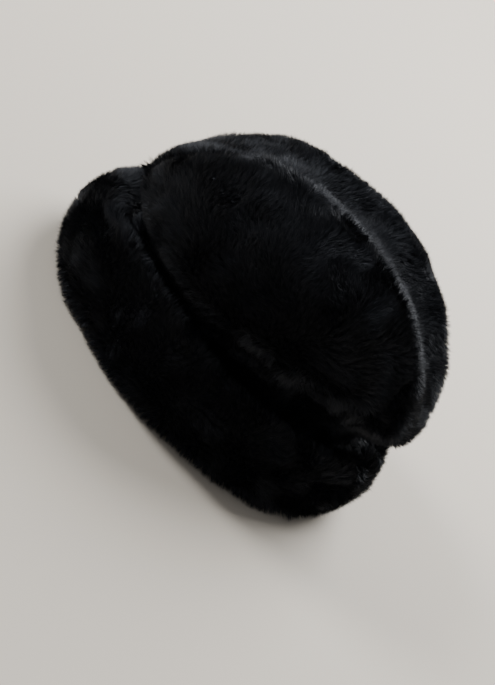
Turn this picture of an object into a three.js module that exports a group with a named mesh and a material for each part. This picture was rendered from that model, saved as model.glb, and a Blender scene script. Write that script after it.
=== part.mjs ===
// A soft fake-fur hat with a wide turned-up cuff and a puffy three-piece crown.
// Millimetres. +Z is up, the wearer faces -Y, the wearer's left is +X.
// The hat rests on the flat ring under its cuff.
import * as THREE from "three";

// Driving dimensions
const HEAD_HALF_LENGTH = 99; // head opening, middle to front
const HEAD_HALF_WIDTH = 80; // head opening, middle to side
const CROWN_HEIGHT = 178; // resting plane to the top of the crown, without the ridges
const CROWN_WALL = 8; // cloth and pile of the crown
const GAP = 0.3; // clearance between neighbouring pieces
const APEX_Y = 12; // the crown's highest point lies this far behind the middle
const STRIP_HALF_WIDTH = 31; // middle of the crown to each ridge seam
const HEM_HEIGHT = 9; // lower edge of the crown cloth, above the turn of the cuff

// The turned-up cuff, a row for each direction seen from above
// angle: degrees from the front; top: height of the rolled edge; reach: middle to the fattest part;
// lean: how far the top stands out from the section below
const CUFF_ROWS = [
  { angle: 0, top: 62, reach: 149, lean: 11 },
  { angle: 30, top: 71, reach: 140, lean: 7 },
  { angle: 60, top: 75, reach: 121, lean: 0 },
  { angle: 90, top: 73, reach: 118, lean: 0 },
  { angle: 120, top: 69, reach: 123, lean: 2 },
  { angle: 150, top: 64, reach: 136, lean: 3 },
  { angle: 180, top: 62, reach: 143, lean: 5 },
];

// The cuff's section. across: 0 at the head opening, 1 at the fattest part; up: share of the height of the top
const CUFF_OUTSIDE = [
  { across: 0.54, up: 0.0 },
  { across: 0.73, up: 0.035 },
  { across: 0.87, up: 0.12 },
  { across: 0.97, up: 0.27 },
  { across: 1.0, up: 0.42 },
  { across: 0.98, up: 0.57 },
  { across: 0.93, up: 0.71 },
  { across: 0.84, up: 0.84 },
  { across: 0.73, up: 0.95 },
  { across: 0.58, up: 1.0 },
  { across: 0.42, up: 0.985 },
  { across: 0.31, up: 0.92 },
];
const CUFF_INSIDE = [0.82, 0.45]; // points down the cuff's inner side, as shares of its top
const CUFF_TURN_WIDTH = 5; // head opening to the inner edge of the flat ring
const CUFF_TURN_ROUND = 0.5; // the turn's inner edge, away from the head opening
const CUFF_FOLDED = { from: 0.55, full: 0.85 }; // across the section, where creases start and are full
const CUFF_COLUMNS = 132;

// The crown, a row for each direction from the axis through its top
// lip: the lower edge of the puffed part; bulge: its widest part; roundness: 2 for an ellipse, less for a slope
const CROWN_ROWS = [
  { angle: 0, lipHeight: 74, lipReach: 136, bulgeHeight: 87, bulgeReach: 143, roundness: 2.0 },
  { angle: 30, lipHeight: 80, lipReach: 129, bulgeHeight: 91, bulgeReach: 135, roundness: 2.1 },
  { angle: 60, lipHeight: 82, lipReach: 115, bulgeHeight: 93, bulgeReach: 121, roundness: 2.2 },
  { angle: 90, lipHeight: 87, lipReach: 108, bulgeHeight: 98, bulgeReach: 115, roundness: 2.4 },
  { angle: 120, lipHeight: 102, lipReach: 103, bulgeHeight: 110, bulgeReach: 109, roundness: 2.3 },
  { angle: 150, lipHeight: 97, lipReach: 105, bulgeHeight: 106, bulgeReach: 111, roundness: 2.1 },
  { angle: 180, lipHeight: 71, lipReach: 119, bulgeHeight: 83, bulgeReach: 132, roundness: 1.8 },
];
const COLLAR_MIDDLE = 0.55; // the upright part inside the cuff has a point at this share of the cuff's top
const COLLAR_END = 6; // and ends this far below it
const WAIST_DROP = 2; // the narrow place under the lip, below the middle of lip and cuff
const WAIST_REACH = 0.1; // share of the way from the collar to the lip that it stands out
const PANEL_COLUMNS = 40;
const PANEL_ROWS = 16;
const COVERED_ROWS = 6; // rows of a side panel inside the cuff
const COVERED_LEVEL = 0.68; // where they end, as a share of the way from the hem to the bulge
const STRIP_COLUMNS = 8;
const STRIP_TOP_ROWS = 24;
const STRIP_END_ROWS = 9;

// The two ridges and the valley between them
const RIDGE_HEIGHT = 5;
const RIDGE_WIDTH = 12;
const RIDGE_FRONT_SPREAD = 20; // how much further out the ridges run at the front
const RIDGE_SPREADING = { from: 45, full: 95 }; // in front of the middle, where they start to and have
const RIDGE_RISING = { from: 0.9, full: 1.3 }; // levels between which ridges and valley grow
const VALLEY_DEPTH = 5.5;

const CREASED_LEVEL = 0.9; // the crown is creased from this level up
const ROLL_LIFT = 0.6; // how far a raised roll lifts the cuff, as a share of how far it stands out

// Creases pressed into the fur, each a row from one end to the other. A depth below 0 is a raised roll.
const FOLDS = [
  { name: "front crease across the strip", from: [-32, -82, 145], to: [36, -73, 152], width: 10, depth: 6 },
  { name: "slanting crease on the top", from: [28, -10, 177], to: [-18, 28, 172], width: 8, depth: 4 },
  { name: "hollow down the back of the strip", from: [-17, 68, 166], to: [-4, 118, 124], width: 10, depth: 6 },
  { name: "gather beside the back ridge", from: [54, 92, 138], to: [34, 119, 110], width: 10, depth: 5 },
  { name: "gather on the right at the back", from: [-58, 84, 142], to: [-46, 112, 108], width: 11, depth: 5 },
  { name: "dent in the left side", from: [92, -40, 138], to: [98, 14, 132], width: 20, depth: 4 },
  { name: "dent in the right side", from: [-94, -30, 134], to: [-96, 30, 136], width: 20, depth: 4 },
  { name: "roll along the edge of the droop", from: [112, 24, 98], to: [92, 70, 107], width: 8, depth: -3 },
  { name: "roll along the edge of the droop", from: [92, 70, 107], to: [62, 104, 106], width: 8, depth: -3 },
  { name: "roll along the edge of the droop", from: [62, 104, 106], to: [28, 130, 94], width: 8, depth: -3 },
  { name: "dent above the droop", from: [106, 40, 118], to: [82, 84, 124], width: 14, depth: 4 },
  { name: "crease below the front roll of the cuff", from: [34, -140, 52], to: [78, -106, 46], width: 9, depth: 7 },
  { name: "front roll of the cuff", from: [30, -136, 68], to: [54, -122, 69], width: 12, depth: -6 },
  { name: "front roll of the cuff", from: [54, -122, 69], to: [82, -98, 66], width: 11, depth: -4 },
  { name: "pinch at the right front of the cuff", from: [-70, -122, 58], to: [-86, -100, 40], width: 11, depth: 4 },
];

// Locks of fur
const LOCK_RELIEF = 1.6; // height of the tufts on the pile
const CROWN_LOCKS = { high: 1, low: -0.4 }; // tufts and the places between them, as shares of the relief
const CUFF_LOCKS = { high: 0.8, low: -0.4 };
const LOCK_SCATTER = 0.4; // by how much the tufts differ
const LOCK_RISING = { from: 0.75, full: 0.95 }; // levels of the crown between which they grow
const RIM_LOCK_LENGTH = 2; // points along the rim
const RIM_LOCK_SPREAD = 0.6; // how far these stand out, as a share of their length
const RIM_LOCK_ROW = 2;

const FUR_BLACK = 0x0b0b0c;
const STRIP_BLACK = 0x0d0d0e;

// Steps of the searches for a place on the crown
const LEVEL_STEPS = 40;
const TURN_STEPS = 30;

const radians = THREE.MathUtils.degToRad;

// Value of one column of a table at any angle, smooth through its rows and the same on both sides of the hat.
function column(rows, name, angle) {
  const turned = ((angle % 360) + 360) % 360;
  const folded = turned > 180 ? 360 - turned : turned;
  const step = 180 / (rows.length - 1);
  const at = Math.min(Math.floor(folded / step), rows.length - 2);
  const value = (i) => rows[i < 0 ? -i : i >= rows.length ? 2 * rows.length - 2 - i : i][name];
  const [a, b, c, d] = [value(at - 1), value(at), value(at + 1), value(at + 2)];
  const t = folded / step - at;
  const slopeB = (c - a) / 2;
  const slopeC = (d - b) / 2;
  const t2 = t * t;
  const t3 = t2 * t;
  return (
    b * (2 * t3 - 3 * t2 + 1) + slopeB * (t3 - 2 * t2 + t) + c * (3 * t2 - 2 * t3) + slopeC * (t3 - t2)
  );
}

// 0 to 1 between the two values of a range.
function within(range, value) {
  return THREE.MathUtils.smoothstep(value, range.from, range.full);
}

// Distance from the point (0, fromY) to an ellipse about the middle of the hat.
function ellipseReach(halfLength, halfWidth, angle, fromY = 0) {
  const [dx, dy] = [Math.sin(radians(angle)), -Math.cos(radians(angle))];
  const a = (dx / halfWidth) ** 2 + (dy / halfLength) ** 2;
  const b = (fromY * dy) / halfLength ** 2;
  const c = (fromY / halfLength) ** 2 - 1;
  return (-b + Math.sqrt(b * b - a * c)) / a;
}

function polar(angle, reach, height, fromY = 0) {
  const t = radians(angle);
  return new THREE.Vector3(reach * Math.sin(t), fromY - reach * Math.cos(t), height);
}

// Small repeatable variation between -1 and 1 for a tuft.
function tuft(i, j) {
  const s = Math.sin(i * 12.9898 + j * 78.233) * 43758.5453;
  return 2 * (s - Math.floor(s)) - 1;
}

// A closed solid from a grid of outer points, the matching inner points, and walls along the grid's border.
function thickSheet(outer, inner) {
  const rows = outer.length;
  const columns = outer[0].length;
  const points = [...outer.flat(), ...inner.flat()];
  const under = rows * columns;
  const id = (i, j) => i * columns + j;
  const faces = [];
  const quad = (a, b, c, d) => faces.push([a, b, c], [a, c, d]);
  for (let i = 0; i < rows - 1; i++) {
    for (let j = 0; j < columns - 1; j++) {
      quad(id(i, j), id(i, j + 1), id(i + 1, j + 1), id(i + 1, j));
      quad(under + id(i, j), under + id(i + 1, j), under + id(i + 1, j + 1), under + id(i, j + 1));
    }
  }
  for (let j = 0; j < columns - 1; j++) {
    quad(id(0, j + 1), id(0, j), under + id(0, j), under + id(0, j + 1));
    quad(id(rows - 1, j), id(rows - 1, j + 1), under + id(rows - 1, j + 1), under + id(rows - 1, j));
  }
  for (let i = 0; i < rows - 1; i++) {
    quad(id(i, 0), id(i + 1, 0), under + id(i + 1, 0), under + id(i, 0));
    quad(id(i + 1, columns - 1), id(i, columns - 1), under + id(i, columns - 1), under + id(i + 1, columns - 1));
  }
  return solid(points, faces);
}

// A closed ring from one loop of points for each column.
function ring(loops) {
  const size = loops[0].length;
  const faces = [];
  loops.forEach((loop, i) => {
    const next = ((i + 1) % loops.length) * size;
    for (let j = 0; j < size; j++) {
      const k = (j + 1) % size;
      faces.push([i * size + j, next + j, next + k], [i * size + j, next + k, i * size + k]);
    }
  });
  return solid(loops.flat(), faces);
}

function solid(points, faces) {
  const geometry = new THREE.BufferGeometry().setFromPoints(points);
  geometry.setIndex(faces.flat());
  geometry.computeVertexNormals();
  return geometry;
}

// Outer surface of the crown along one direction, from the hem (0) through the bulge (1) to the top (2).
function crownPoint(angle, level) {
  const row = (name) => column(CROWN_ROWS, name, angle);
  const [bulgeReach, bulgeHeight] = [row("bulgeReach"), row("bulgeHeight")];
  if (level >= 1) {
    const turn = radians(90 * (level - 1));
    const power = 2 / row("roundness");
    const reach = bulgeReach * Math.max(Math.cos(turn), 0) ** power;
    const rise = Math.sin(turn) ** power;
    return polar(angle, reach, bulgeHeight + (CROWN_HEIGHT - bulgeHeight) * rise, APEX_Y);
  }
  const half = [HEAD_HALF_LENGTH + CROWN_WALL, HEAD_HALF_WIDTH + CROWN_WALL];
  const hemReach = ellipseReach(...half, angle, APEX_Y);
  const cuffTop = column(CUFF_ROWS, "top", angle);
  const [lipReach, lipHeight] = [row("lipReach"), row("lipHeight")];
  const waist = (cuffTop + lipHeight) / 2 - WAIST_DROP;
  const path = new THREE.CatmullRomCurve3(
    [
      new THREE.Vector3(hemReach, HEM_HEIGHT + GAP, 0),
      new THREE.Vector3(hemReach, cuffTop * COLLAR_MIDDLE, 0),
      new THREE.Vector3(hemReach, cuffTop - COLLAR_END, 0),
      new THREE.Vector3(hemReach + WAIST_REACH * (lipReach - hemReach), waist, 0),
      new THREE.Vector3(lipReach, lipHeight, 0),
      new THREE.Vector3(bulgeReach, bulgeHeight, 0),
    ],
    false,
    "centripetal",
  );
  const at = path.getPointAt(level);
  return polar(angle, at.x, at.y, APEX_Y);
}

// The crown's surface above the bulge, over a point of the plan.
function domeLevel(x, y) {
  const angle = THREE.MathUtils.radToDeg(Math.atan2(x, APEX_Y - y));
  const reach = Math.hypot(x, APEX_Y - y);
  const power = 2 / column(CROWN_ROWS, "roundness", angle);
  const share = Math.min(reach / column(CROWN_ROWS, "bulgeReach", angle), 1);
  return { angle, level: 1 + THREE.MathUtils.radToDeg(Math.acos(share ** (1 / power))) / 90 };
}

// Direction out of the crown's surface. At the very top it is taken from just below.
function crownNormal(angle, level) {
  const [step, highest, roundest] = [0.01, 1.999, 1.98];
  const low = Math.max(level - step, 0);
  const high = Math.min(level + step, highest);
  const up = crownPoint(angle, high).sub(crownPoint(angle, low));
  const beside = (turn) => crownPoint(angle + turn, Math.min(level, roundest));
  const round = beside(1).sub(beside(-1));
  return round.cross(up).normalize();
}

// Ridges beside the seams and the valley between them, fading out towards the hem.
function ridgeRelief(point, level) {
  const fade = within(RIDGE_RISING, level);
  const crest = STRIP_HALF_WIDTH + RIDGE_FRONT_SPREAD * within(RIDGE_SPREADING, -point.y);
  const ridge = RIDGE_HEIGHT * Math.exp(-(((Math.abs(point.x) - crest) / RIDGE_WIDTH) ** 2));
  const across = Math.min(Math.abs(point.x) / crest, 1);
  const valley = VALLEY_DEPTH * Math.cos((Math.PI / 2) * across) ** 2;
  return fade * (ridge - valley);
}

// How deep the creases press the fur in at a point.
function foldDepth(point) {
  let depth = 0;
  for (const fold of FOLDS) {
    const line = new THREE.Line3(new THREE.Vector3(...fold.from), new THREE.Vector3(...fold.to));
    const away = line.closestPointToPoint(point, true, new THREE.Vector3()).distanceTo(point);
    depth += fold.depth * Math.exp(-((away / fold.width) ** 2));
  }
  return depth;
}

// Outer and inner point of the crown cloth. On a seam its edge is cut in an upright plane from front to back.
function crownCloth(angle, level, tuftHeight, onSeam) {
  const base = crownPoint(angle, level);
  const normal = crownNormal(angle, level);
  if (onSeam) normal.setX(0).normalize();
  const creased = within({ from: CREASED_LEVEL, full: 1 }, level);
  const relief = ridgeRelief(base, level) - foldDepth(base) * creased;
  return {
    outer: base.clone().addScaledVector(normal, relief + tuftHeight),
    inner: base.clone().addScaledVector(normal, relief - CROWN_WALL),
  };
}

// Level at which a direction of the side panel meets the ridge seam.
function seamLevel(angle, seamX) {
  let [low, high] = [1, 2];
  for (let i = 0; i < LEVEL_STEPS; i++) {
    const middle = (low + high) / 2;
    if (Math.abs(crownPoint(angle, middle).x) > seamX) low = middle;
    else high = middle;
  }
  return low;
}

// Direction in which the crown stands the given way aside at a level up to the bulge, at the front or the back.
function angleAside(aside, level, back) {
  let turn = 0;
  for (let i = 0; i < TURN_STEPS; i++) {
    const point = crownPoint(back ? 180 - turn : turn, level);
    turn = THREE.MathUtils.radToDeg(Math.asin(aside / Math.hypot(point.x, point.y - APEX_Y)));
  }
  return back ? 180 - turn : turn;
}

// Height of the tuft at a point of a grid, high and low by turns.
function lockHeight(locks, i, j) {
  return LOCK_RELIEF * ((i + j) % 2 ? locks.high : locks.low) + LOCK_SCATTER * tuft(i, j);
}

// Height of the tuft at a point of the crown's grid. None lies on a seam or inside the cuff.
function crownLock(i, j, level, onSeam) {
  if (onSeam) return 0;
  return lockHeight(CROWN_LOCKS, i, j) * within(LOCK_RISING, level);
}

function sidePanel(side) {
  const seamX = STRIP_HALF_WIDTH + GAP / 2;
  const outer = [];
  const inner = [];
  for (let i = 0; i <= PANEL_ROWS; i++) {
    outer.push([]);
    inner.push([]);
    for (let j = 0; j <= PANEL_COLUMNS; j++) {
      const share = side > 0 ? j / PANEL_COLUMNS : 1 - j / PANEL_COLUMNS;
      const angleFor = (level) => {
        const first = angleAside(seamX, Math.min(level, 1), false);
        const last = angleAside(seamX, Math.min(level, 1), true);
        return first + (last - first) * share;
      };
      const above = (i - COVERED_ROWS) / (PANEL_ROWS - COVERED_ROWS);
      const end = seamLevel(angleFor(1), seamX);
      const level =
        above > 0 ? COVERED_LEVEL + (end - COVERED_LEVEL) * above : COVERED_LEVEL * (i / COVERED_ROWS);
      const onSeam = j === 0 || j === PANEL_COLUMNS || i === PANEL_ROWS;
      const cloth = crownCloth(side * angleFor(level), level, crownLock(i, j, level, onSeam), onSeam);
      outer[i].push(cloth.outer);
      inner[i].push(cloth.inner);
    }
  }
  return thickSheet(outer, inner);
}

function centreStrip() {
  const seamX = STRIP_HALF_WIDTH - GAP / 2;
  const outer = [];
  const inner = [];
  const add = (place) => {
    outer.push([]);
    inner.push([]);
    for (let j = 0; j <= STRIP_COLUMNS; j++) {
      const { angle, level } = place(seamX * ((2 * j) / STRIP_COLUMNS - 1));
      const onSeam = j === 0 || j === STRIP_COLUMNS;
      const cloth = crownCloth(angle, level, crownLock(outer.length, j, level, onSeam), onSeam);
      outer[outer.length - 1].push(cloth.outer);
      inner[inner.length - 1].push(cloth.inner);
    }
  };
  const addEnd = (i, back) => {
    const level = i / STRIP_END_ROWS;
    add((x) => {
      const angle = angleAside(Math.abs(x), level, back);
      return { angle: x < 0 ? -angle : angle, level };
    });
  };
  for (let i = 0; i < STRIP_END_ROWS; i++) addEnd(i, false);
  for (let i = 0; i <= STRIP_TOP_ROWS; i++)
    add((x) => {
      const from = crownPoint(angleAside(Math.abs(x), 1, false), 1).y;
      const to = crownPoint(angleAside(Math.abs(x), 1, true), 1).y;
      const along = Math.sin((Math.PI / 2) * ((2 * i) / STRIP_TOP_ROWS - 1));
      return domeLevel(x, (from + to) / 2 + ((to - from) / 2) * along);
    });
  for (let i = STRIP_END_ROWS - 1; i >= 0; i--) addEnd(i, true);
  return thickSheet(outer, inner);
}

function cuff() {
  const loops = [];
  for (let i = 0; i < CUFF_COLUMNS; i++) {
    const angle = (360 * i) / CUFF_COLUMNS;
    const head = ellipseReach(HEAD_HALF_LENGTH, HEAD_HALF_WIDTH, angle);
    const inside = ellipseReach(
      HEAD_HALF_LENGTH + CROWN_WALL + GAP,
      HEAD_HALF_WIDTH + CROWN_WALL + GAP,
      angle,
    );
    const reach = column(CUFF_ROWS, "reach", angle);
    const top = column(CUFF_ROWS, "top", angle);
    const loop = CUFF_OUTSIDE.map(({ across, up }, j) => {
      const lock = j === 0 ? 0 : lockHeight(CUFF_LOCKS, i, j);
      const point = j === RIM_LOCK_ROW && i % 2 ? RIM_LOCK_LENGTH : 0;
      const smooth = head + (reach - head) * across + column(CUFF_ROWS, "lean", angle) * up;
      const dent = foldDepth(polar(angle, smooth, top * up)) * within(CUFF_FOLDED, across);
      const rise = top * up + ROLL_LIFT * Math.max(-dent, 0);
      const relief = j < CUFF_OUTSIDE.length - 2 ? lock + RIM_LOCK_SPREAD * point : 0;
      return polar(angle, Math.max(smooth - dent + relief, inside), Math.max(rise - point, 0));
    });
    loop.push(
      ...CUFF_INSIDE.map((share) => polar(angle, inside, top * share)),
      polar(angle, inside, HEM_HEIGHT),
      polar(angle, head, HEM_HEIGHT),
      polar(angle, head + CUFF_TURN_ROUND, HEM_HEIGHT / 3),
      polar(angle, head + CUFF_TURN_WIDTH, 0),
    );
    loops.push(loop);
  }
  return ring(loops);
}

function fur(color) {
  return new THREE.MeshStandardMaterial({ color, roughness: 0.95, metalness: 0 });
}

function piece(name, geometry, material) {
  const mesh = new THREE.Mesh(geometry, material);
  mesh.name = name;
  return mesh;
}

const hat = new THREE.Group();
hat.add(
  piece("cuff", cuff(), fur(FUR_BLACK)),
  piece("crown_side_left", sidePanel(1), fur(FUR_BLACK)),
  piece("crown_side_right", sidePanel(-1), fur(FUR_BLACK)),
  piece("crown_centre", centreStrip(), fur(STRIP_BLACK)),
);

// The origin is the middle of the hat's outline seen from above, on the resting plane.
const outline = new THREE.Box3().setFromObject(hat);
hat.position.set(-(outline.min.x + outline.max.x) / 2, -(outline.min.y + outline.max.y) / 2, 0);

export default hat;
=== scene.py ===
# A black fake-fur hat with a turned-up cuff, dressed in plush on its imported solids.
# Metres. +Z is up, the wearer faces -Y, the wearer's left is +X.
import math

import bmesh
import bpy
import numpy as np
from mathutils import Matrix, Vector


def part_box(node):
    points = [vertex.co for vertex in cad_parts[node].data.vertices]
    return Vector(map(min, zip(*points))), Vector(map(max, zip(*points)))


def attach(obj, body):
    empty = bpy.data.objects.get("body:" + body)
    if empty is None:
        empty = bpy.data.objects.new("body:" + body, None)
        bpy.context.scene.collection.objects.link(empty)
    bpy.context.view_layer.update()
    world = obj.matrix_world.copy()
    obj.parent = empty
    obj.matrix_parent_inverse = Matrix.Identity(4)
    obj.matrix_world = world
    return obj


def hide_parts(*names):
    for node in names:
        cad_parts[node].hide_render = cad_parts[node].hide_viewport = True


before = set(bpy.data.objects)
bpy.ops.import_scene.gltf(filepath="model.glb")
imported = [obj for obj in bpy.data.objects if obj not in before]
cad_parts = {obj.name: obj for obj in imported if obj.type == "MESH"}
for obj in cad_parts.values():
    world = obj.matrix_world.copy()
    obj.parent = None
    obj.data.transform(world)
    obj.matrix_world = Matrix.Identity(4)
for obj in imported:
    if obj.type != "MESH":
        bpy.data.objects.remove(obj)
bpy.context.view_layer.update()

MM = 0.001

# The cloth that the pile grows from
MERGE_DISTANCE = 0.02 * MM
SEAM_REACH = 0.5 * MM  # points this near to a seam stay in its plane
SMOOTHINGS = 3
ROUNDING = 0.35  # how far the added points follow the curve between the old ones
PILE_SINK = 5.5 * MM  # the cloth lies this far under the solids' outer face
SINK_HEIGHT = 12 * MM  # height above the floor from which the cuff's cloth is drawn in fully
CROWN_CORE = (0, 0, 80 * MM)  # faces of the crown that look away from here carry pile
CUFF_CORE_HALF_WIDTH = 98 * MM  # faces of the cuff that look away from this oval carry pile
CUFF_CORE_HALF_LENGTH = 121 * MM
CUFF_CORE_HEIGHT = 30 * MM
CUFF_STEPS = 72  # directions in which the height of the cuff is taken
TUCKED_START = 6 * MM  # depth below the cuff's top at which the crown starts to lose its pile
TUCKED_FULL = 20 * MM  # and has lost it

# Soft unevenness of the cloth, a row for each size of bump
UNEVENNESS = [
    {"height": 1.3 * MM, "size": 30 * MM, "seed": 61},
    {"height": 0.9 * MM, "size": 13 * MM, "seed": 71},
]
SLOPE_STEP = 1.5 * MM  # distance over which its slope is taken

# A fine roll along the near ridge at the front, in two straight parts, in millimetres
ROLLS = [
    {"from": (63, -104, 117), "to": (52, -76, 151), "width": 6, "height": 2},
    {"from": (52, -76, 151), "to": (33, -60, 163), "width": 6, "height": 2},
]

# Pile
STRANDS_PER_M2 = 4.6e6
MOST_STRANDS = 180_000  # a piece's limit
PILE_LENGTH = 9 * MM
LENGTH_RANGE = (0.72, 1.1)  # shortest and longest strand, as shares of the pile's length
LENGTH_PATCHES = {"amount": 0.12, "size": 9 * MM, "seed": 37}
LONG_SHARE = 0.08  # share of the strands that stand proud of the rest
LONG_EXTRA = 0.35  # how much longer those are
STRAND_WIDTH = 0.42 * MM  # at the root
WIDTH_RANGE = (0.7, 1.3)  # factors between which that varies
PILE_LEAN = 0.9  # sideways part of a strand's direction, against 1 outwards
LEAN_PATCHES = {"amount": 0.3, "size": 16 * MM, "seed": 27}
SWAY = 0.65  # how far the pile strays from its lie
COARSE_SWAY = {"size": 34 * MM, "seed": 7}
FINE_SWAY = {"size": 12 * MM, "seed": 17}
FINE_SWAY_SHARE = 0.7
SWIRL = 2.0  # radians that the lie is turned by at most, in patches
SWIRL_PATCHES = {"size": 17 * MM, "seed": 87}
JITTER = 0.3  # how far each strand strays on its own
CLUMP_SIZE = 4 * MM
CLUMP_SCATTER = 0.45  # how far a clump's middle lies from that of its cell, in cells
CLUMP_SEED = 50
CLUMP_PULL = 0.6  # how far a strand's tip is drawn to the middle of its clump
PULL_RANGE = (0.5, 1.2)  # factors between which that varies
TWIST = 0.9  # radians that a strand's face is turned by, at random
SOFTNESS = 0.26  # how far a strand is shaded as the surface under it
FLOOR_CLEARANCE = 0.3 * MM  # under the lowest tips
FLOOR_SCATTER = 1.5 * MM  # by how much those that meet the floor differ
ROOT_CLEARANCE = 0.1 * MM  # under the lowest roots

# Pile of the crown. A slope is the upward part of the surface's normal.
LIP_SLOPE = -0.5  # slope along the crown's lip, where the pile hangs down
LIP_SPREAD = 0.07
SIDE_LIE = (0.4, -0.9, 1.1)  # direction of the pile on the right panel, and on the left with X turned round
STRIP_LIE = (-1, 0.1, 0)
RIDGE_LEAN = 1.4  # how far the side panels' pile leans out from the ridges at the back
RIDGE_INNER = 36 * MM  # within this distance of the middle the pile leans out fully
RIDGE_OUTER = 48 * MM  # and beyond this one it doesn't
RIDGE_LEAN_START = -30 * MM  # Y at which it starts to lean out
RIDGE_LEAN_FULL = 20 * MM

# Pile of the cuff
CREST_TURN = 1.2  # how far the pile on the cuff's crest lies round the hat
CREST_START = 0.2  # slope at which it starts to turn
CREST_FULL = 0.7
RIM_FULL = 5 * MM  # below this height the pile stands out in pointed locks
RIM_HEIGHT = 14 * MM  # and above this one it doesn't
RIM_TURN = 1.6  # above 1 the pile of the rim lies down
RIM_UPRIGHT = 0.6  # share of the lean that it loses
RIM_PULL = 0.2  # how much more it is drawn to its clumps
RIM_EXTRA = 0.55  # how much longer it is
RIM_EVEN = 0.6  # share of that all along the rim, with as much again in tufts
RIM_TUFTS = {"size": 6 * MM, "seed": 47}

# Colours and finish
PILE_DARK = (0.0028, 0.0028, 0.0038)
PILE_LIGHT = (0.0085, 0.0085, 0.011)
PILE_SPECKLE = 12 * MM
BACKING_DARK = (0.008, 0.008, 0.009)
BACKING_LIGHT = (0.018, 0.018, 0.019)
BACKING_SPECKLE = 3 * MM
BACKING_KNIT = 1.2 * MM
BACKING_KNIT_DEPTH = 0.4 * MM
SPECKLE_DETAIL = 4.0
SPECKLE_RAMP = (0.35, 0.68)  # values of the noise at which the darkest and the lightest colour are reached

# Stage
FLOOR_SIZE = 12
FLOOR_COLOUR = (0.71, 0.65, 0.56, 1)
WORLD_COLOUR = (0.98, 0.98, 1, 1)
WORLD_STRENGTH = 0.24
LIGHTS = [
    {"name": "far_side", "place": (-1.3, 0.15, 1.3), "size": 1.6, "power": 60},
    {"name": "front_top", "place": (0.25, -1.4, 1.25), "size": 0.6, "power": 24},
]

# Camera, found from the outline of the hat in the photo
CAMERA_AZIMUTH = 98
CAMERA_ELEVATION = 26
CAMERA_ROLL = 45.2  # the picture is turned clockwise by this angle
CAMERA_DISTANCE = 1.5
CAMERA_CLIP = (0.05, 50)
TARGET = Vector((0, 0, 85 * MM))
TARGET_PIXEL = (272.5, 290.0)  # where the target lies in the photo
PIXELS_PER_MM = 1.415
FRAME_PIXELS = (495, 685)
SENSOR = 36.0

DOWN = np.array((0, 0, -1))
rng = np.random.default_rng(12)


# Noise and vectors

def lattice(points, seed):
    """A value between -1 and 1 for each whole-numbered point."""
    p = points.astype(np.int64)
    h = (p[:, 0] * 73856093) ^ (p[:, 1] * 19349663) ^ (p[:, 2] * 83492791) ^ (seed * 2654435761)
    h = (h ^ (h >> 13)) * 1274126177 & 0xFFFFFFFF
    h = (h ^ (h >> 16)) * 2246822519 & 0xFFFFFFFF
    return ((h >> 8) & 0xFFFF) / 32767.5 - 1


def noise(points, size, seed):
    """Smooth noise between about -1 and 1 with bumps of the given size."""
    p = points / size
    base = np.floor(p)
    t = p - base
    t = t * t * (3 - 2 * t)
    total = np.zeros(len(points))
    for corner in range(8):
        step = np.array([corner & 1, corner >> 1 & 1, corner >> 2 & 1])
        weight = np.prod(np.where(step, t, 1 - t), axis=1)
        total += weight * lattice(base + step, seed)
    return total


def noise3(points, size, seed):
    """A direction of smooth noise at each point."""
    return np.stack([noise(points, size, seed + i) for i in range(3)], 1)


def patches(points, amount, size, seed):
    """A factor about 1 that varies by the given amount in patches."""
    return 1 + amount * noise(points, size, seed)


def smoothstep(x, low, high):
    t = np.clip((x - low) / (high - low), 0, 1)
    return t * t * (3 - 2 * t)


def unit(v):
    return v / np.maximum(np.linalg.norm(v, axis=1, keepdims=True), 1e-12)


def off_normal(v, normal):
    """The part of v that lies along the surface."""
    return v - normal * (v * normal).sum(1, keepdims=True)


def round_the_hat(points):
    """Direction round the hat's upright axis at each point."""
    return unit(np.stack([-points[:, 1], points[:, 0], np.zeros(len(points))], 1))


def values(collection, attribute, width, kind=np.float32):
    """An attribute of a mesh's points, faces or triangles, a row for each."""
    column = np.empty(len(collection) * width, kind)
    collection.foreach_get(attribute, column)
    return column.reshape(-1, width)


# Materials

def principled(name, roughness, **sockets):
    material = bpy.data.materials.new(name)
    material.use_nodes = True
    shader = material.node_tree.nodes["Principled BSDF"]
    shader.inputs["Roughness"].default_value = roughness
    for socket, value in sockets.items():
        shader.inputs[socket.replace("_", " ")].default_value = value
    return material, shader


def noise_texture(tree, size):
    """A noise node with bumps of the given size, fixed to the object."""
    place = tree.nodes.new("ShaderNodeTexCoord")
    texture = tree.nodes.new("ShaderNodeTexNoise")
    texture.inputs["Scale"].default_value = 1 / size
    tree.links.new(place.outputs["Object"], texture.inputs["Vector"])
    return texture


def speckle(material, shader, dark, light, size):
    """Drives the base colour between two colours by noise with bumps of the given size."""
    tree = material.node_tree
    texture = noise_texture(tree, size)
    texture.inputs["Detail"].default_value = SPECKLE_DETAIL
    ramp = tree.nodes.new("ShaderNodeValToRGB")
    for stop, position, colour in zip(ramp.color_ramp.elements, SPECKLE_RAMP, (dark, light)):
        stop.position = position
        stop.color = (*colour, 1)
    tree.links.new(texture.outputs["Fac"], ramp.inputs["Fac"])
    tree.links.new(ramp.outputs["Color"], shader.inputs["Base Color"])


def bumps(material, shader, size, depth):
    tree = material.node_tree
    texture = noise_texture(tree, size)
    bump = tree.nodes.new("ShaderNodeBump")
    bump.inputs["Distance"].default_value = depth
    tree.links.new(texture.outputs["Fac"], bump.inputs["Height"])
    tree.links.new(bump.outputs["Normal"], shader.inputs["Normal"])


def pile_material():
    material, shader = principled(
        "black_pile",
        0.55,
        Sheen_Weight=0.05,
        Sheen_Roughness=0.4,
        Sheen_Tint=(0.85, 0.9, 1, 1),
        Specular_IOR_Level=0.4,
        Specular_Tint=(0.8, 0.87, 1, 1),
    )
    speckle(material, shader, PILE_DARK, PILE_LIGHT, PILE_SPECKLE)
    return material


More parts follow.
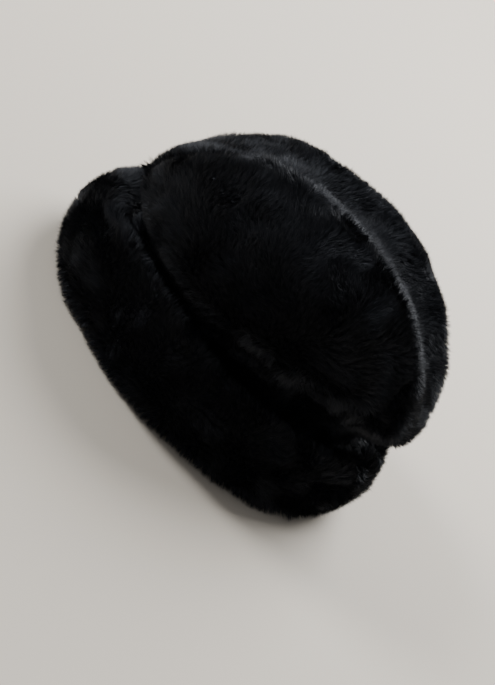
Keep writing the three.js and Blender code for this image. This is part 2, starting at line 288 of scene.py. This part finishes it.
def backing_material():
    material, shader = principled("black_backing", 0.9, Sheen_Weight=0.1)
    speckle(material, shader, BACKING_DARK, BACKING_LIGHT, BACKING_SPECKLE)
    bumps(material, shader, BACKING_KNIT, BACKING_KNIT_DEPTH)
    return material


# The cloth that the pile grows from

def merged_mesh(node):
    """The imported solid's mesh with its shared points merged."""
    mesh = bmesh.new()
    mesh.from_mesh(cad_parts[node].data)
    bmesh.ops.remove_doubles(mesh, verts=mesh.verts, dist=MERGE_DISTANCE)
    return mesh


def furred(points, normals, core):
    """1 where the surface carries pile, 0 on the inside of the hat."""
    away = points - core(points)
    return ((away * normals).sum(1) > 0).astype(float)


def crown_core(points):
    return np.tile(CROWN_CORE, (len(points), 1))


def cuff_core(points):
    """The middle of the cuff's roll at each point's direction from the centre."""
    reach = np.linalg.norm(points[:, :2], axis=1)
    angle = np.arctan2(points[:, 1], points[:, 0])
    middle = np.hypot(CUFF_CORE_HALF_WIDTH * np.cos(angle), CUFF_CORE_HALF_LENGTH * np.sin(angle))
    share = (middle / np.maximum(reach, 1e-9))[:, None]
    return np.hstack([points[:, :2] * share, np.full((len(points), 1), CUFF_CORE_HEIGHT)])


def cuff_step(points):
    """Number of the direction from the centre, counted round from the front, in which each point lies."""
    angle = np.degrees(np.arctan2(points[:, 0], -points[:, 1])) % 360
    return (angle / (360 / CUFF_STEPS)).astype(int) % CUFF_STEPS


def cuff_top_by_step():
    """Height of the cuff's roll in each direction."""
    points = np.array([v.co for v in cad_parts["cuff"].data.vertices])
    top = np.zeros(CUFF_STEPS)
    np.maximum.at(top, cuff_step(points), points[:, 2])
    return top


def cuff_depth(points):
    """1 for points of the crown that are well inside the cuff, 0 for those above it."""
    return smoothstep(cuff_top[cuff_step(points)] - points[:, 2], TUCKED_START, TUCKED_FULL)


def smooth_away_tufts(mesh, held):
    """Evens out the points of a mesh that aren't held."""
    for _ in range(SMOOTHINGS):
        bmesh.ops.smooth_vert(
            mesh,
            verts=[v for v, fixed in zip(mesh.verts, held) if not fixed],
            factor=0.5,
            use_axis_x=True,
            use_axis_y=True,
            use_axis_z=True,
        )
    mesh.normal_update()


def draw_in(mesh, node, on_seam, core):
    """Moves the furred side of a cloth inwards by the pile's room, but not at the rim or in the cuff."""
    points = np.array([v.co for v in mesh.verts])
    normals = np.array([v.normal for v in mesh.verts])
    normals[on_seam] = unit(normals[on_seam] * (0, 1, 1))
    sink = PILE_SINK * furred(points, normals, core)
    if node == "cuff":
        sink = sink * smoothstep(points[:, 2], 0, SINK_HEIGHT)
    else:
        sink = sink * (1 - cuff_depth(points))
    for vert, point in zip(mesh.verts, points - normals * sink[:, None]):
        vert.co = point


def cloth(name, node, core):
    """The node's form with its tufts smoothed away and its furred side drawn in."""
    mesh = merged_mesh(node)
    on_seam = [node != "cuff" and abs(abs(v.co.x) - seam_x) < SEAM_REACH for v in mesh.verts]
    smooth_away_tufts(mesh, on_seam)
    draw_in(mesh, node, on_seam, core)
    bmesh.ops.subdivide_edges(mesh, edges=mesh.edges, cuts=1, use_grid_fill=True, smooth=ROUNDING)
    mesh.normal_update()
    data = bpy.data.meshes.new(name)
    mesh.to_mesh(data)
    mesh.free()
    data.materials.append(pile)
    data.materials.append(backing)
    outside = furred(values(data.polygons, "center", 3), values(data.polygons, "normal", 3), core) > 0
    data.polygons.foreach_set("material_index", np.where(outside, 0, 1).astype(np.int32))
    data.polygons.foreach_set("use_smooth", np.ones(len(data.polygons), bool))
    ob = placed(name, data)
    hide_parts(node)
    return ob


def placed(name, data):
    """A piece made of a mesh, riding on the hat's one body."""
    ob = bpy.data.objects.new(name, data)
    bpy.context.scene.collection.objects.link(ob)
    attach(ob, "root")
    return ob


# Unevenness of the cloth

def roll_height(points):
    """Height of the fine roll at each point."""
    height = np.zeros(len(points))
    for roll in ROLLS:
        start, end = np.array(roll["from"]) * MM, np.array(roll["to"]) * MM
        line = end - start
        along = np.clip((points - start) @ line / (line @ line), 0, 1)
        away = np.linalg.norm(points - start - along[:, None] * line, axis=1)
        height += roll["height"] * MM * np.exp(-((away / (roll["width"] * MM)) ** 2))
    return height


def relief(points):
    """Height of the soft unevenness of the cloth and of its fine roll."""
    uneven = sum(row["height"] * noise(points, row["size"], row["seed"]) for row in UNEVENNESS)
    return uneven + roll_height(points)


def relieved(points, normals):
    """Moves points out by the relief, and tips their normals by its slope."""
    height = relief(points)
    is_side = np.abs(normals[:, 2:]) < 0.9
    across = unit(np.cross(normals, np.where(is_side, [[0.0, 0, 1]], [[1.0, 0, 0]])))
    along = np.cross(normals, across)
    slope = sum(
        d * ((relief(points + d * SLOPE_STEP) - height) / SLOPE_STEP)[:, None] for d in (across, along)
    )
    return points + normals * height[:, None], unit(normals - slope)


# Pile

def face_samples(ob, keep):
    """Random points on the furred faces of a cloth, with their normals, spread evenly by area."""
    data = ob.data
    data.calc_loop_triangles()
    triangles = values(data.loop_triangles, "vertices", 3, np.int32)
    slots = values(data.loop_triangles, "material_index", 1, np.int32).ravel()
    places = values(data.vertices, "co", 3).astype(float)
    turned = values(data.vertices, "normal", 3).astype(float)
    corners = places[triangles]
    edges = corners[:, 1] - corners[:, 0], corners[:, 2] - corners[:, 0]
    area = np.linalg.norm(np.cross(*edges), axis=1) / 2
    area = area * (slots == 0) * keep(corners.mean(1))
    total = area.sum()
    count = min(int(total * STRANDS_PER_M2), MOST_STRANDS)
    picked = np.searchsorted(np.cumsum(area) / total, rng.random(count))
    picked = np.minimum(picked, len(area) - 1)
    u, v = rng.random(count), rng.random(count)
    over = u + v > 1
    u[over], v[over] = 1 - u[over], 1 - v[over]
    weights = np.stack([1 - u - v, u, v], 1)[:, :, None]
    points = (corners[picked] * weights).sum(1)
    normals = unit((turned[triangles[picked]] * weights).sum(1))
    return points, normals


def clump_means(points, roots):
    """Mean of points over clumps of neighbouring roots, for each root."""
    cell = np.floor(roots / CLUMP_SIZE)
    nearest = np.full(len(roots), np.inf)
    owner = np.zeros((len(roots), 3))
    for dx in (-1, 0, 1):
        for dy in (-1, 0, 1):
            for dz in (-1, 0, 1):
                near = cell + (dx, dy, dz)
                scatter = np.stack([lattice(near, CLUMP_SEED + i) for i in range(3)], 1)
                centre = (near + 0.5 + CLUMP_SCATTER * scatter) * CLUMP_SIZE
                away = ((roots - centre) ** 2).sum(1)
                closer = away < nearest
                nearest[closer] = away[closer]
                owner[closer] = near[closer]
    _, clump = np.unique(owner, axis=0, return_inverse=True)
    clump = clump.ravel()
    count = np.bincount(clump)
    mean = np.stack([np.bincount(clump, points[:, i]) / count for i in range(3)], 1)
    return mean[clump]


def lie_of_pile(roots, normals, flow, rim):
    """Direction along the cloth in which each strand leans: the flow, astray and turned in patches."""
    sway = SWAY * (noise3(roots, **COARSE_SWAY) + FINE_SWAY_SHARE * noise3(roots, **FINE_SWAY))
    along = unit(off_normal(flow + sway, normals))
    swirl = (SWIRL * noise(roots, **SWIRL_PATCHES) * (1 - rim))[:, None]
    return along * np.cos(swirl) + np.cross(normals, along) * np.sin(swirl)


def strand_tips(roots, normals, flow, rim):
    """The tip of each strand, drawn to its clump and kept above the floor."""
    n = len(roots)
    along = lie_of_pile(roots, normals, flow, rim)
    jitter = off_normal(rng.normal(size=(n, 3)), normals) * JITTER
    lean = PILE_LEAN * patches(roots, **LEAN_PATCHES) * (1 - RIM_UPRIGHT * rim)
    reach = PILE_LENGTH * rng.uniform(*LENGTH_RANGE, n) * patches(roots, **LENGTH_PATCHES)
    reach *= 1 + LONG_EXTRA * (rng.random(n) < LONG_SHARE)
    reach *= 1 + RIM_EXTRA * rim * (RIM_EVEN + RIM_EVEN * noise(roots, **RIM_TUFTS))
    direction = unit(normals + along * lean[:, None] + jitter)
    tips = roots + direction * reach[:, None]
    pull = (CLUMP_PULL + RIM_PULL * rim) * rng.uniform(*PULL_RANGE, n)
    tips = tips + (clump_means(tips, roots) - tips) * pull[:, None]
    lowest = FLOOR_CLEARANCE + rng.uniform(0, FLOOR_SCATTER, n)
    tips[:, 2] = np.maximum(tips[:, 2], lowest)
    return tips


def strands(name, roots, normals, flow, rim):
    """A joined mesh of pointed strands, a triangle each. rim is 1 where they stand out as pointed locks."""
    n = len(roots)
    tips = strand_tips(roots, normals, flow, rim)
    course = unit(tips - roots)
    facing = unit(off_normal(normals, course))
    side = np.cross(course, facing)
    twist = rng.normal(0, TWIST, n)[:, None]
    turned = facing * np.cos(twist) - side * np.sin(twist)
    side = side * np.cos(twist) + facing * np.sin(twist)
    half = side * (STRAND_WIDTH / 2 * rng.uniform(*WIDTH_RANGE, n))[:, None]
    vertices = np.stack([roots - half, roots + half, tips], 1)
    vertices[:, :, 2] = np.maximum(vertices[:, :, 2], ROOT_CLEARANCE)
    shading = np.repeat(unit(turned + SOFTNESS * normals), 3, axis=0)
    return placed(name, triangle_mesh(name, vertices, shading))


def triangle_mesh(name, vertices, shading):
    """A mesh of loose triangles, with a shading normal for each of their corners."""
    n = len(vertices)
    data = bpy.data.meshes.new(name)
    data.vertices.add(3 * n)
    data.vertices.foreach_set("co", vertices.astype(np.float32).ravel())
    data.loops.add(3 * n)
    data.loops.foreach_set("vertex_index", np.arange(3 * n, dtype=np.int32))
    data.polygons.add(n)
    data.polygons.foreach_set("loop_start", np.arange(0, 3 * n, 3, dtype=np.int32))
    data.polygons.foreach_set("use_smooth", np.ones(n, bool))
    data.update(calc_edges=True)
    bake_map(data, n)
    data.normals_split_custom_set_from_vertices(shading.astype(np.float32))
    data.materials.append(pile)
    return data


def bake_map(data, n):
    """A map with a square cell of its own for each triangle, which fills most of it."""
    side = math.ceil(math.sqrt(n))
    column, row = np.arange(n) % side, np.arange(n) // side
    corner = np.array([(0.05, 0.05), (0.95, 0.05), (0.5, 0.95)])
    places = (np.stack([column, row], 1)[:, None, :] + corner[None]) / side
    layer = data.uv_layers.new(name="OFBake", do_init=False)
    layer.uv.foreach_set("vector", places.astype(np.float32).ravel())


def crown_pile(name, cloth_piece, lie, ridge_lean):
    """The pile of one panel: it lies one way, out from the ridge at the back, and hangs down at the lip."""
    roots, normals = face_samples(cloth_piece, lambda points: 1 - cuff_depth(points))
    roots, normals = relieved(roots, normals)
    x, y = roots[:, 0], roots[:, 1]
    ridge = smoothstep(-np.abs(x), -RIDGE_OUTER, -RIDGE_INNER)
    ridge = ridge * smoothstep(y, RIDGE_LEAN_START, RIDGE_LEAN_FULL)
    hang = np.exp(-(((normals[:, 2] - LIP_SLOPE) / LIP_SPREAD) ** 2))[:, None]
    flow = np.array(lie) + np.sign(x)[:, None] * (1, 0, 0) * (ridge_lean * ridge)[:, None]
    flow = flow * (1 - hang) + DOWN * hang
    return strands(name, roots, normals, flow, np.zeros(len(roots)))


def cuff_pile(name, cloth_piece, side):
    """The pile of half the cuff: it lies up the cuff, round the hat on its crest, and down at the rim."""
    roots, normals = face_samples(cloth_piece, lambda points: (points[:, 0] * side > 0).astype(float))
    roots, normals = relieved(roots, normals)
    rim = 1 - smoothstep(roots[:, 2], RIM_FULL, RIM_HEIGHT)
    round_hat = round_the_hat(roots)
    flow = np.cross(normals, round_hat) * (1 - RIM_TURN * rim)[:, None]
    flow -= CREST_TURN * round_hat * smoothstep(normals[:, 2], CREST_START, CREST_FULL)[:, None]
    return strands(name, roots, normals, flow, rim)


# Stage

def stage():
    material, shader = principled("pale_floor", 0.7)
    shader.inputs["Base Color"].default_value = FLOOR_COLOUR
    bpy.ops.mesh.primitive_plane_add(size=FLOOR_SIZE)
    floor = bpy.context.object
    floor.name = "floor"
    floor.data.materials.append(material)


def area_light(name, place, size, power):
    """A round soft light that shines at the hat."""
    light = bpy.data.lights.new(name, "AREA")
    light.shape = "DISK"
    light.size = size
    light.energy = power
    ob = bpy.data.objects.new(name, light)
    ob.location = place
    ob.rotation_euler = (TARGET - Vector(place)).to_track_quat("-Z", "Y").to_euler()
    bpy.context.scene.collection.objects.link(ob)


def lights():
    world = bpy.data.worlds.new("studio")
    world.use_nodes = True
    background = world.node_tree.nodes["Background"]
    background.inputs["Color"].default_value = WORLD_COLOUR
    background.inputs["Strength"].default_value = WORLD_STRENGTH
    bpy.context.scene.world = world
    for light in LIGHTS:
        area_light(**light)


def camera():
    """Looks at the target from the photo's angle, turned so that the target falls on its pixel."""
    a, e, r = (math.radians(x) for x in (CAMERA_AZIMUTH, CAMERA_ELEVATION, CAMERA_ROLL))
    away = Vector((math.sin(a) * math.cos(e), -math.cos(a) * math.cos(e), math.sin(e)))
    right = Vector((math.cos(a), math.sin(a), 0))
    up = away.cross(right)
    across = right * math.cos(r) + up * math.sin(r)
    upward = up * math.cos(r) - right * math.sin(r)
    turned = Matrix((across, upward, away)).transposed()
    focal = PIXELS_PER_MM * CAMERA_DISTANCE / MM
    aside = TARGET_PIXEL[0] - FRAME_PIXELS[0] / 2
    above = FRAME_PIXELS[1] / 2 - TARGET_PIXEL[1]
    aim = Vector((aside, above, -focal)).rotation_difference(Vector((0, 0, -1))).to_matrix()
    data = bpy.data.cameras.new("camera")
    data.sensor_width = SENSOR
    data.lens = focal / max(FRAME_PIXELS) * SENSOR
    data.clip_start, data.clip_end = CAMERA_CLIP
    ob = bpy.data.objects.new("camera", data)
    ob.matrix_world = Matrix.Translation(TARGET + away * CAMERA_DISTANCE) @ (turned @ aim).to_4x4()
    bpy.context.scene.collection.objects.link(ob)
    bpy.context.scene.camera = ob


pile = pile_material()
backing = backing_material()
cuff_top = cuff_top_by_step()
seam_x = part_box("crown_centre")[1].x

cuff_cloth = cloth("cuff_cloth", "cuff", cuff_core)
left_cloth = cloth("crown_left_cloth", "crown_side_left", crown_core)
right_cloth = cloth("crown_right_cloth", "crown_side_right", crown_core)
centre_cloth = cloth("crown_centre_cloth", "crown_centre", crown_core)

cuff_pile("cuff_pile_left", cuff_cloth, 1)
cuff_pile("cuff_pile_right", cuff_cloth, -1)
crown_pile("crown_left_pile", left_cloth, np.multiply(SIDE_LIE, (-1, 1, 1)), RIDGE_LEAN)
crown_pile("crown_right_pile", right_cloth, SIDE_LIE, RIDGE_LEAN)
crown_pile("crown_centre_pile", centre_cloth, STRIP_LIE, 0)

stage()
lights()
camera()
